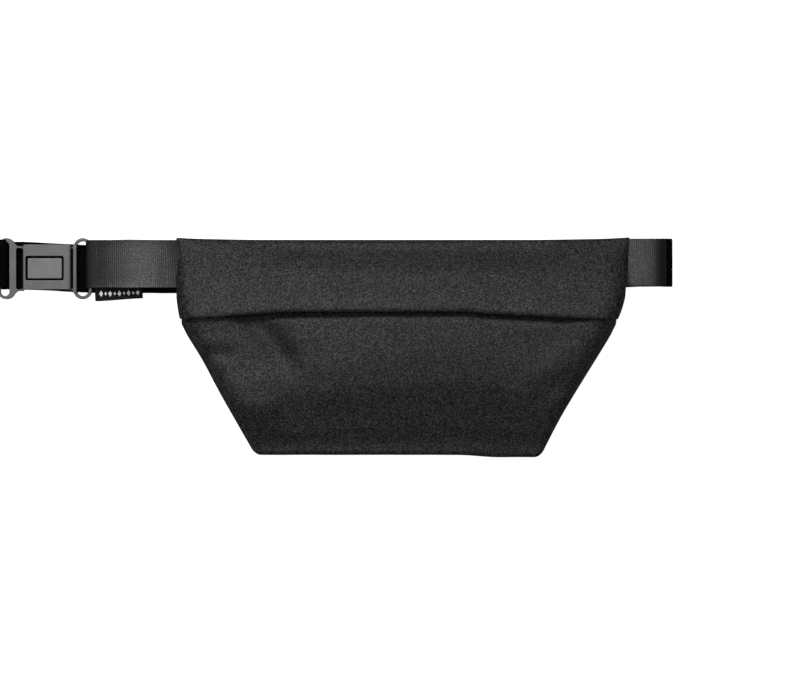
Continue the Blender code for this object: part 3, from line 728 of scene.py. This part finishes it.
def make_flap():
    """The flap's outer cloth, from the top seam round the fold to its free edge, which is turned under as a hem."""
    path = [("back", 0.0), ("back", 0.5), ("fold", 0.0), ("fold", 0.35), ("fold", 0.7), ("fold", 1.0)]
    for kind, steps in (("front", 46), ("roll", 6), ("hem", 6)):
        path += [(kind, i / steps) for i in range(1, steps + 1)]

    def at(step, s):
        kind, t = step
        x_top, u = mix(TOP_LEFT, TOP_RIGHT, s), 2 * s - 1
        top, edge = flap_top(x_top), flap_edge(mix(EDGE_LEFT, EDGE_RIGHT, s))
        radius = mix(0.0005, 0.0014, smooth(-1.0, -0.55, u) * smooth(1.0, 0.75, u))
        reach = 2.0 * radius
        if kind == "back":
            y, z = top - 0.0012 + 0.0008 * t, mix(0.0042, 0.0070, t)
        elif kind == "fold":
            y, z = top - 0.0004 * (1 - t) - 0.0016 * t * t, mix(0.0070, FLAP_BASE_Z, t)
        else:
            f = t if kind == "front" else 1.0
            y = mix(top - FOLD_DEPTH, edge + reach, f)
            z = FLAP_BASE_Z + flap_rise(f, u)
            waves = 0.0006 * wander(x_top, y, 0.055, 11.0) + 0.00025 * wander(x_top, y, 0.02, 12.0)
            z += rolled(min(s, 1 - s) * 0.36, TURN) * waves * math.sin(math.pi * min(1, 2 * f) / 2)
            if kind == "roll":
                y -= reach * math.sin(math.pi * t)
                z -= radius * (1 - math.cos(math.pi * t))
            elif kind == "hem":
                y += HEM * t
                z = FLAP_BASE_Z + flap_rise(1 - HEM * t / 0.060, u) - 2 * radius
        left, right = flap_side(y, -1), flap_side(y, 1)
        x = mix(left, right, s)
        down = 0.0012 * (1 - rolled(min(x - left, right - x), 0.0030))
        return x, y, z - down * (kind in ("front", "fold"))

    columns = spaced(140, 0.8)
    grid = sheet_of(path, columns, at)
    flap = from_grid("flap_cloth", grid, CANVAS, 0.0007)
    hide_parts("flap_outer")
    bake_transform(flap)


def make_facing():
    """The flap's inner cloth, sewn to the hem."""

    def at(t, s):
        u = 2 * s - 1
        seam, edge = flap_top(mix(TOP_LEFT, TOP_RIGHT, s)), flap_edge(mix(EDGE_LEFT, EDGE_RIGHT, s))
        y = mix(seam - 0.0030, edge + 0.0075, t)
        f = (seam - FOLD_DEPTH - y) / (seam - FOLD_DEPTH - edge)
        x = mix(flap_side(y, -1) + 0.0035, flap_side(y, 1) - 0.0035, s)
        tuck = 0.0013 * smooth(0.75, 1, t) * smooth(-1.0, -0.55, u) * smooth(1.0, 0.75, u)
        return x, y, FLAP_BASE_Z + flap_rise(max(0, f), u) - 0.0009 - tuck

    facing = from_grid("flap_facing_cloth", sheet_of(evenly(20), spaced(60), at), LINING, 0.0004)
    put_on(facing, "flap", "flap_facing")


# ---------------------------------------------------------------- the back


def make_back():
    """The padded back: mesh over foam, with two sewn channels and a rounded rim."""
    low_y, high_y = BOTTOM_Y + 0.0012, 0.0848

    def at(t, s):
        y = mix(low_y, high_y, t)
        left, right = side_x(y, -1) + 0.0012, side_x(y, 1) - 0.0012
        x = mix(left, right, s)
        near = min((x - left) * SIDE_SLANT, (right - x) * SIDE_SLANT, y - low_y, 0.0850 - y)
        over_belt = 0.0022 * smooth(0.036, 0.0425, y)
        channel = max(bump(0.060, 0.0030, abs(x)), bump(-0.020, 0.0030, y) * (abs(x) < 0.12)) if y < 0.034 else 0
        return x, y, 0.0005 + over_belt + 0.0026 * (1 - rolled(near, 0.006)) + 0.0010 * channel

    grid = sheet_of(spaced(70, 0.8), spaced(110)[::-1], at)
    back = from_grid("back_mesh_cloth", grid, MESH, 0.0012)
    put_on(back, "pack", "back_panel")


# ---------------------------------------------------------------- the belt


def ribbon(name, points, centre_y, look, unshaded_length, width, thick=WEB_THICK, askew=0.0, twist=None):
    """Webbing along points in X and Z. Past a given length along it, it takes a darker, duller webbing material,
    which is painted shade for its runs under and behind other parts.

    centre_y gives its middle's Y, askew how far its ends slant, and twist how far each of its points leans out.
    """
    line, pitch = curve_through([(x, 0, z) for x, z in points], RIB_PITCH / 2)
    across = (-1.0, -0.97, -0.90, -0.6, -0.2, 0.2, 0.6, 0.90, 0.97, 1.0)
    grid = []
    last = len(line) - 1
    total = pitch * last
    for i, p in enumerate(line):
        run, along = i * pitch, i / last
        before, after = line[max(0, i - 1)], line[min(last, i + 1)]
        normal = Vector((-(after - before).z, 0, (after - before).x)).normalized()
        ripple = 0.00016 * (1 if i % 2 else -1) + 0.0002 * wander(run, 0.5, 0.012, 21.0)
        slant = askew * (max(0, 1 - run / 0.012) + max(0, 1 - (total - run) / 0.012))
        row = []
        for k in across:
            half = width / 2 + (ripple if abs(k) > 0.9 else 0)
            out = 0.0003 * wander(run, k * 0.01, 0.03, 22.0) - 0.0025 * max(0.0, abs(k) - 0.9)
            if twist:
                out += twist(run, k)
            row.append(Vector((p.x + slant * (1 - k) / 2, centre_y(p.x, along) + k * half, p.z)) + normal * out)
        grid.append(row)

    def ribs(r, c):
        return min(r, last) * pitch, across[c] * width / 2

    web = from_grid(name, grid, look, thick, 0.0, uvs=ribs)
    web.data.materials.append(WEBBING_PAINTED_SHADE)
    # faces past that length take the painted-shade webbing, a darker, duller copy that stands in for the shade under
    # and behind other parts
    for face in web.data.polygons:
        if face.index // (len(across) - 1) * pitch > unshaded_length:
            face.material_index = 1
    return web, total


def make_short_strap():
    """The doubled webbing between the bag and the buckle's right ring. Its upper ply arches."""
    points = [
        (-0.1770, 0.0116), (-0.1860, 0.0149), (-0.1960, 0.0171), (-0.2080, 0.0180), (-0.2200, 0.0173),
        (-0.2320, 0.0151), (-0.2420, 0.0120), (-0.2475, 0.0101), (-0.2502, 0.0086), (-0.2508, 0.0070),
        (-0.2500, 0.0054), (-0.2470, 0.0046), (-0.2320, 0.0046), (-0.2080, 0.0048), (-0.1900, 0.0052),
        (-0.1775, 0.0060),
    ]
    # past its first 76 mm, round the ring and along the ply under the arch, it takes the painted-shade webbing
    strap, length = ribbon("short_strap_web", points, lambda x, t: 0.0663, WEBBING, 0.076, 0.0384, askew=0.004)
    put_on(strap, "pack", "short_strap")


def belt_y(x, along):
    """The long strap's middle: a little askew, as it was laid."""
    if along < 0.09:
        return 0.0676
    if along > 0.80:
        return 0.0669
    lowest = mix(0.0676, 0.0624, smooth(0.200, 0.100, x))
    return mix(lowest, 0.0669, 0.65 * smooth(-0.235, -0.31, x) + 0.35 * smooth(-0.30, -0.400, x))


def belt_twist(length, across):
    """Beside the flap the strap's top edge lies lower than its bottom edge."""
    return -0.0009 * across * smooth(0.004, 0.018, length) * smooth(0.045, 0.026, length)


def make_long_strap():
    """The belt: from under the flap round its right fold, behind the bag, and round the left fold and ring."""
    points = [
        (0.1760, 0.0086), (0.1830, 0.0094), (0.1900, 0.0101), (0.1970, 0.0105), (0.2040, 0.0102), (0.2085, 0.0086),
        (0.2125, 0.0056), (0.2160, 0.0036), (0.2180, 0.0024), (0.2166, 0.0014), (0.2100, 0.0012), (0.2020, 0.0012),
        (0.1200, 0.0012), (0.0000, 0.0012), (-0.1500, 0.0012), (-0.3000, 0.0012), (-0.4000, 0.0013),
        (-0.4070, 0.0016), (-0.4108, 0.0026), (-0.4120, 0.0052), (-0.4106, 0.0080), (-0.4060, 0.0096),
        (-0.3960, 0.0099), (-0.3600, 0.0100), (-0.3300, 0.0101), (-0.3215, 0.0102), (-0.3165, 0.0095),
        (-0.3146, 0.0076), (-0.3155, 0.0056), (-0.3200, 0.0044), (-0.3290, 0.0042),
    ]
    # past its first 38 mm, from its right fold round behind the bag to its left end, it takes the painted-shade
    # webbing
    strap, length = ribbon("long_strap_web", points, belt_y, BELT_WEBBING, 0.038, 0.0382, twist=belt_twist)
    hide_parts("waist_strap_back", "waist_strap_front")
    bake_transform(strap)


def make_tail():
    """The belt's end, sewn round the adjuster's middle bar."""
    points = [
        (-0.3320, 0.0027), (-0.3450, 0.0027), (-0.3590, 0.0027), (-0.3618, 0.0036), (-0.3624, 0.0052),
        (-0.3616, 0.0068), (-0.3596, 0.0075), (-0.3560, 0.0066), (-0.3510, 0.0046),
    ]
    # all of the tail takes the painted-shade webbing
    tail, length = ribbon("adjuster_tail_web", points, lambda x, t: 0.0650, BELT_WEBBING, 0.0, 0.0380, 0.0012)
    put_on(tail, "adjuster", "adjuster_tail")


def make_label():
    """A folded woven tab sewn in under the strap's lower edge, with a generic row of pale woven lozenges."""

    def at(v, t, lift=0.0):
        y = mix(mix(0.0365, 0.0390, smooth(-0.1, 1.1, t)), 0.0478, v)
        z = 0.0098 - 0.0016 * (1 - v) + 0.0006 * math.sin(5 * t)
        return mix(-0.2443, -0.2063, t) + 0.0004 * (1 - v), y, z + lift

    grid = sheet_of(evenly(10), evenly(40), at)
    label = from_grid("label_fold", grid, LABEL, 0.0011)
    put_on(label, "pack", "label_tab")
    declare_cloth(grid)
    bm = bmesh.new()
    layer = bm.loops.layers.uv.new("cloth")
    middle, shrink, count = 0.52, 0.8, 9
    for i in range(count):
        t = mix(0.13, 0.90, i / (count - 1))
        half_t, half_v = (0.042, 0.24) if i % 2 == 0 else (0.027, 0.15)
        ring = [(-half_t, 0), (0, -half_v), (half_t, 0), (0, half_v)]
        low = [bm.verts.new(at(middle + b, t + a, 0.00002)) for a, b in ring]
        high = [bm.verts.new(at(middle + b * shrink, t + a * shrink, 0.00022)) for a, b in ring]
        bm.faces.new(high)
        bm.faces.new(low[::-1])
        for k in range(4):
            bm.faces.new((low[k], low[(k + 1) % 4], high[(k + 1) % 4], high[k]))
    map_flat(bm, layer)
    put_on(object_from(bm, "label_lozenges", LABEL_MARK, False), "pack")


# ---------------------------------------------------------------- the buckle


def ring_outline(x, y, reach, shoulder_half, side):
    """A stadium ring's outline that runs on into a shoulder: side is 1 where the shoulder is to its right."""
    top, low = y + RING_HALF_HEIGHT - RING_RADIUS, y - RING_HALF_HEIGHT + RING_RADIUS
    fillet = 0.0030
    points = arc((0, top), RING_RADIUS, 18, 180, 14)
    points += arc((0, low), RING_RADIUS, 180, 342, 14)
    start = RING_RADIUS * math.cos(math.radians(18))
    points += arc((start + fillet, y - shoulder_half - fillet), fillet, 160, 90, 6)
    points += [(reach, y - shoulder_half), (reach, y + shoulder_half)]
    points += arc((start + fillet, y + shoulder_half + fillet), fillet, 270, 200, 6)
    return [(x + side * px, py) for px, py in points]


def moulding(name, outline, low, high, bevel, look=PLASTIC):
    return prism(name, outline, low, high, look, "buckle_plastic", bevel)


def across_buckle(left, right, half, radius, count=5):
    """A rounded box that reaches half to each side of the buckle's middle."""
    return rounded_box(left, right, BUCKLE_Y - half, BUCKLE_Y + half, radius, count)


def make_buckle_right():
    """The half on the bag's side: its ring and shoulder, the tray, the cover plate and the button."""
    outline = ring_outline(RING_RIGHT_X, BUCKLE_Y, 0.0150, 0.0172, -1)
    ring = moulding("buckle_ring_right", outline, 0.0054, 0.0092, 0.0010)
    window_right = RING_RIGHT_X + RING_RADIUS - RING_ROD
    cut(
        ring,
        across_buckle(RING_RIGHT_X - 0.0046, window_right, RING_HALF_HEIGHT - RING_ROD, 0.0046, 8),
        across_buckle(-0.2640, -0.2618, 0.0158, 0.0008),
    )
    bar = moulding("buckle_ring_bar", across_buckle(-0.2617, -0.2587, 0.0195, 0.0012), 0.0085, 0.0104, 0.0006)

    low, high = PLATE_LOW_Y, PLATE_HIGH_Y
    outline = rounded_box(-0.3004, -0.2632, low + 0.0002, high - 0.0002, 0.0012)
    tray = moulding("buckle_tray", outline, 0.0024, 0.0103, 0.0007)
    cut(tray, rounded_box(-0.3100, -0.2660, low + 0.0018, high - 0.0018, 0.0006), span=(0.0040, 0.0120))
    outline = rounded_box(PLATE_LEFT, PLATE_RIGHT, low, high, 0.0014)
    plate = moulding("buckle_plate", outline, PLATE_LOW_Z, PLATE_TOP_Z, 0.0006)
    opening_low, opening_high = BUTTON_LOW_Y - 0.0011, BUTTON_HIGH_Y + 0.0014
    cut(plate, rounded_box(BUTTON_LEFT - 0.0013, BUTTON_RIGHT + 0.0010, opening_low, opening_high, 0.0014))
    edge = rounded_box(PLATE_RIGHT - 0.0014, PLATE_RIGHT - 0.0002, low + 0.001, high - 0.001, 0.0005)
    rim = moulding("buckle_plate_rim", edge, PLATE_TOP_Z - 0.0008, PLATE_TOP_Z + 0.00035, 0.00045)

    outline = rounded_box(BUTTON_LEFT, BUTTON_RIGHT, BUTTON_LOW_Y, BUTTON_HIGH_Y, 0.0010)
    button = moulding("buckle_button_cap", outline, 0.0092, BUTTON_TOP_Z, 0.0006, BUTTON_PLASTIC)
    lip = 0.0018
    outline = rounded_box(BUTTON_LEFT - lip, BUTTON_RIGHT + lip, BUTTON_LOW_Y - lip, BUTTON_HIGH_Y + lip, 0.0012)
    flange = moulding("buckle_button_flange", outline, 0.0089, 0.0100, 0.0003)
    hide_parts("buckle_base")
    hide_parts("buckle_cover")
    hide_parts("buckle_button")
    for piece in (ring, bar, tray, plate, rim):
        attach(piece, "pack")
    for piece in (button, flange):
        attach(piece, "button")


def make_buckle_left():
    """The half that pulls out: its ring, the slotted shoulder and two arms that reach into the tray."""
    half = 0.0180
    outline = ring_outline(RING_LEFT_X, BUCKLE_Y, RING_LEFT_X * -1 - 0.3011, half, 1)
    ring = moulding("clasp_frame", outline, 0.0050, 0.0094, 0.0009)
    window_left = RING_LEFT_X - RING_RADIUS + RING_ROD
    cut(
        ring,
        across_buckle(window_left, RING_LEFT_X + 0.0024, RING_HALF_HEIGHT - RING_ROD, 0.0034, 8),
        across_buckle(-0.3072, -0.3018, half - 0.0014, 0.0016),
    )
    put_on(ring, "clasp", "buckle_clasp")
    for side, name in ((-1, "clasp_arm_low"), (1, "clasp_arm_high")):
        low, high = sorted((BUCKLE_Y + side * 0.0108, BUCKLE_Y + side * 0.0161))
        put_on(moulding(name, rounded_box(-0.3020, -0.2702, low, high, 0.0020), 0.0052, 0.0086, 0.0006), "clasp")


# ---------------------------------------------------------------- the zip


def make_coils():
    """The closed coil: rows of interlocked loops across the chain, each a bent rod."""
    chain = Matrix.Translation((0, ZIP_Y, ZIP_Z)) @ Matrix.Rotation(ZIP_TILT, 4, "X")
    pitch, steps = 0.0013, 8
    for side, name in ((-1, "lower"), (1, "upper")):
        curve = bpy.data.curves.new(f"zip_coil_{name}_loops", "CURVE")
        curve.dimensions = "3D"
        curve.bevel_depth = 0.00028
        curve.bevel_resolution = 1
        curve.use_fill_caps = True
        spline = curve.splines.new("POLY")
        spline.points.add(int(2 * ZIP_HALF / pitch) * steps)
        for i, point in enumerate(spline.points):
            turn = 2 * math.pi * i / steps
            x = min(ZIP_HALF, -ZIP_HALF + pitch * i / steps + (pitch / 2 if side > 0 else 0))
            at = Vector((x, side * (0.0011 + 0.00125 * math.cos(turn)), 0.00068 * math.sin(turn)))
            point.co = (*(chain @ at), 1)
        curve.materials.append(COIL)
        obj = bpy.data.objects.new(f"zip_coil_{name}_loops", curve)
        bpy.context.scene.collection.objects.link(obj)
        put_on(obj, "pack", f"zip_coil_{name}")
        look_node(f"zip_tape_{name}", ZIP_TAPE)


def make_topstitching():
    """A row of stitches in the cloth along each side of the zip."""

    def lower_height(x, y):
        return BASE_Z + body_height(x, y, side_x(y, -1), side_x(y, 1))

    for y, name, height in ((0.0298, "lower", lower_height), (0.0457, "upper", upper_height)):
        line = [(x, y, height(x, y) + 0.0001) for x in (mix(-0.1210, 0.1210, t) for t in evenly(40))]
        stitches(f"zip_topstitch_{name}", line, "pack")


def make_slider():
    """A slim slider round the chain, its bridge, and the pull threaded under the bridge."""
    flat = Matrix.Translation((SLIDER_X, ZIP_Y, ZIP_Z)) @ Matrix.Rotation(ZIP_TILT, 4, "X")
    upright = flat @ Matrix.Rotation(math.radians(90), 4, "X")
    base = 0.0016
    arch = [(x, base + (y - base) * 0.40) for x, y in arc((0.0, base), 0.0032, 160, 20, 12)]
    inner = [(x * 0.82, base + (y - base) * 0.62) for x, y in arch[::-1]]

    def metal(name, outline, low, high, bevel, node, body, matrix=flat, holes=()):
        piece = prism(name, outline, low, high, ZIP_METAL, "zip_metal", bevel)
        if holes:
            cut(piece, *holes, span=(0.0, 0.01))
        piece.data.transform(matrix)
        put_on(piece, body, node)

    shield = rounded_box(-0.0044, 0.0044, -0.0040, 0.0040, 0.0020, 8)
    metal("zip_slider_top", shield, 0.0011, 0.0017, 0.00025, "zip_slider", "slider")
    metal("zip_slider_bottom", shield, -0.0017, -0.0011, 0.00025, "zip_slider", "slider")
    metal("zip_slider_bridge", arch + inner, -0.0008, 0.0008, 0.00015, "zip_slider", "slider", upright)
    tab = rounded_box(-0.0171, 0.0004, -0.0029, 0.0029, 0.0022, 8)
    eye = rounded_box(-0.0048, -0.0006, -0.0014, 0.0014, 0.0008)
    grip = rounded_box(-0.0155, -0.0085, -0.0014, 0.0014, 0.0013)
    metal("zip_pull_tab", tab, 0.00190, 0.00240, 0.00015, "zip_pull", "pull", holes=(eye, grip))


def make_spring():
    """The button's coil spring, drawn at one length on the pack; the real one shortens as the button is pressed."""
    turns, radius, wire, low, high = 4.0, 0.0028, 0.00032, 0.0043, 0.0086
    steps = 96
    grid = []
    for r in range(7):
        around = 2 * math.pi * r / 6
        row = []
        for i in range(steps + 1):
            turn = 2 * math.pi * turns * i / steps
            out = radius + wire * math.cos(around)
            height = mix(low + wire, high - wire, i / steps) + wire * math.sin(around)
            row.append(Vector((SPRING_X + out * math.cos(turn), SPRING_Y + out * math.sin(turn), height)))
        grid.append(row)
    spring = from_grid("button_spring_coil", grid[:-1], SPRING, tube=True, uvs=cloth_map(grid))
    put_on(spring, "pack", "button_spring")
    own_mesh(spring)


def look_node(node, look):
    """Gives a CAD node that stays its finished material."""
    mesh = NODES[node].data
    mesh.materials.clear()
    mesh.materials.append(look)


def finish_cad_nodes():
    """The CAD nodes that stay: inner pieces, the zip's stops and the adjuster."""
    for node in ("back_lining", "slip_pocket", "seam_binding_left", "seam_binding_right", "seam_binding_bottom"):
        look_node(node, INNER)
    look_node("back_foam", FOAM)
    for node in ("zip_stop_left", "zip_stop_right"):
        look_node(node, ZIP_METAL)
    look_node("strap_adjuster", PLASTIC)


# ---------------------------------------------------------------- the studio


def in_scene(name, data):
    obj = bpy.data.objects.new(name, data)
    bpy.context.scene.collection.objects.link(obj)
    return obj


def make_light(name, spot, towards, size, watts):
    light = bpy.data.lights.new(name, "AREA")
    light.shape = "RECTANGLE"
    light.size, light.size_y = size
    light.energy = watts
    obj = in_scene(name, light)
    obj.location = spot
    obj.rotation_euler = (Vector(towards) - Vector(spot)).to_track_quat("-Z", "Y").to_euler()
    obj.visible_camera = False


def make_studio():
    """A pale floor, a key light from the upper left, a wide one overhead, and the camera straight above."""
    mesh = bpy.data.meshes.new("floor")
    mesh.from_pydata([(-4, -4, 0), (4, -4, 0), (4, 4, 0), (-4, 4, 0)], [], [(0, 1, 2, 3)])
    pale = Shader("pale_floor", (0.60, 0.60, 0.60), 0.9, Emission_Color=(1, 1, 1, 1), Emission_Strength=0.92)
    mesh.materials.append(pale.material)
    floor = in_scene("floor", mesh)
    floor.visible_glossy = False
    make_light("key", (-0.45, 0.85, 1.30), (0, 0, 0), (0.6, 0.4), 14)
    make_light("overhead", (-0.05, 0.10, 1.7), (-0.05, 0.10, 0), (1.3, 0.45), 8)

    world = bpy.data.worlds.new("studio")
    world.use_nodes = True
    tree = world.node_tree
    background = tree.nodes["Background"]
    background.inputs["Color"].default_value = (1, 1, 1, 1)
    # dim as a light, and as pale as the floor where the camera looks past it
    path, glow = tree.nodes.new("ShaderNodeLightPath"), tree.nodes.new("ShaderNodeMapRange")
    glow.inputs["To Min"].default_value = 0.03
    glow.inputs["To Max"].default_value = 0.95
    tree.links.new(path.outputs["Is Camera Ray"], glow.inputs["Value"])
    tree.links.new(glow.outputs["Result"], background.inputs["Strength"])
    bpy.context.scene.world = world
    bpy.context.scene.view_settings.view_transform = "Standard"

    camera = bpy.data.cameras.new("camera")
    camera.sensor_width = 36
    distance, wide, height = 2.6, 0.640, 0.010  # the frame is this wide at that height
    camera.lens = camera.sensor_width * (distance - height) / wide
    holder = in_scene("camera", camera)
    holder.location = (0, -0.0008, distance)
    bpy.context.scene.camera = holder


def main():
    make_studio()
    make_lower_front()
    make_lower_lining()
    make_upper_front()
    make_back()
    make_flap()
    make_facing()
    make_buckle_right()
    make_buckle_left()
    make_short_strap()
    make_long_strap()
    make_tail()
    make_label()
    make_coils()
    make_topstitching()
    make_slider()
    make_spring()
    finish_cad_nodes()


main()
